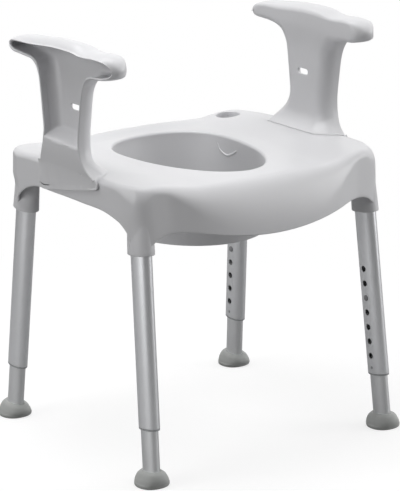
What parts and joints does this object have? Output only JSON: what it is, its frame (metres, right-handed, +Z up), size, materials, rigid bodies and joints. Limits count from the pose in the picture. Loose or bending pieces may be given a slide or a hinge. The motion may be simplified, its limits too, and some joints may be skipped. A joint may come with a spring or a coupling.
{
  "type": "raised toilet seat frame",
  "caption": "Raised toilet seat with a moulded splash-guard seat, lift-off armrests and splayed, height-adjustable telescopic legs on rubber feet.",
  "frame": {"origin": "on the floor under the middle of the whole", "axes": "+Z up, +Y from the front of the seat to its rear, +X towards the right armrest as seen from the front"},
  "size_m": [0.54, 0.4785, 0.6898],
  "materials": {
    "seat_plastic": "pale cool grey moulded plastic, satin",
    "tube_aluminium": "satin anodised oval tube",
    "inner_aluminium": "satin anodised oval tube, a little darker",
    "bush_plastic": "plain moulded grey",
    "button_plastic": "dark moulded",
    "spring_steel": "bright strip",
    "foot_rubber": "matt grey rubber"
  },
  "bodies": {
    "seat": {"seat_shell": "seat_plastic", "outer_tube_front_left": "tube_aluminium", "end_bush_front_left": "bush_plastic", "outer_tube_front_right": "tube_aluminium", "end_bush_front_right": "bush_plastic", "outer_tube_rear_left": "tube_aluminium", "end_bush_rear_left": "bush_plastic", "outer_tube_rear_right": "tube_aluminium", "end_bush_rear_right": "bush_plastic"},
    "armrest_left": {"armrest_left": "seat_plastic"},
    "armrest_right": {"armrest_right": "seat_plastic"},
    "leg_front_left": {"inner_tube_front_left": "inner_aluminium", "guide_ring_front_left": "bush_plastic", "spring_clip_front_left": "spring_steel", "foot_front_left": "foot_rubber"},
    "button_front_left": {"push_button_front_left": "button_plastic"},
    "leg_front_right": {"inner_tube_front_right": "inner_aluminium", "guide_ring_front_right": "bush_plastic", "spring_clip_front_right": "spring_steel", "foot_front_right": "foot_rubber"},
    "button_front_right": {"push_button_front_right": "button_plastic"},
    "leg_rear_left": {"inner_tube_rear_left": "inner_aluminium", "guide_ring_rear_left": "bush_plastic", "spring_clip_rear_left": "spring_steel", "foot_rear_left": "foot_rubber"},
    "button_rear_left": {"push_button_rear_left": "button_plastic"},
    "leg_rear_right": {"inner_tube_rear_right": "inner_aluminium", "guide_ring_rear_right": "bush_plastic", "spring_clip_rear_right": "spring_steel", "foot_rear_right": "foot_rubber"},
    "button_rear_right": {"push_button_rear_right": "button_plastic"}
  },
  "joints": [
    {"name": "leg_height_front_left", "type": "slide", "parent": "seat", "child": "leg_front_left", "axis": [-0.0308, -0.1054, -0.994], "range_m": [-0.05, 0.1]},
    {"name": "button_press_front_left", "type": "slide", "parent": "leg_front_left", "child": "button_front_left", "axis": [-0.9995, 0, 0.031], "range_m": [0, 0.004], "stiffness_N_per_m": 1200, "springref_m": -0.003, "deforming": ["spring_clip_front_left"]},
    {"name": "leg_height_front_right", "type": "slide", "parent": "seat", "child": "leg_front_right", "axis": [0.0308, -0.1054, -0.994], "range_m": [-0.05, 0.1]},
    {"name": "button_press_front_right", "type": "slide", "parent": "leg_front_right", "child": "button_front_right", "axis": [0.9995, 0, 0.031], "range_m": [0, 0.004], "stiffness_N_per_m": 1200, "springref_m": -0.003, "deforming": ["spring_clip_front_right"]},
    {"name": "leg_height_rear_left", "type": "slide", "parent": "seat", "child": "leg_rear_left", "axis": [-0.0309, 0.0926, -0.9952], "range_m": [-0.05, 0.1]},
    {"name": "button_press_rear_left", "type": "slide", "parent": "leg_rear_left", "child": "button_rear_left", "axis": [-0.9995, 0, 0.031], "range_m": [0, 0.004], "stiffness_N_per_m": 1200, "springref_m": -0.003, "deforming": ["spring_clip_rear_left"]},
    {"name": "leg_height_rear_right", "type": "slide", "parent": "seat", "child": "leg_rear_right", "axis": [0.0309, 0.0926, -0.9952], "range_m": [-0.05, 0.1]},
    {"name": "button_press_rear_right", "type": "slide", "parent": "leg_rear_right", "child": "button_rear_right", "axis": [0.9995, 0, 0.031], "range_m": [0, 0.004], "stiffness_N_per_m": 1200, "springref_m": -0.003, "deforming": ["spring_clip_rear_right"]},
    {"name": "lift_off_left", "type": "slide", "parent": "seat", "child": "armrest_left", "axis": [0, 0, 1], "range_m": [0, 0.06]},
    {"name": "lift_off_right", "type": "slide", "parent": "seat", "child": "armrest_right", "axis": [0, 0, 1], "range_m": [0, 0.06]}
  ]
}
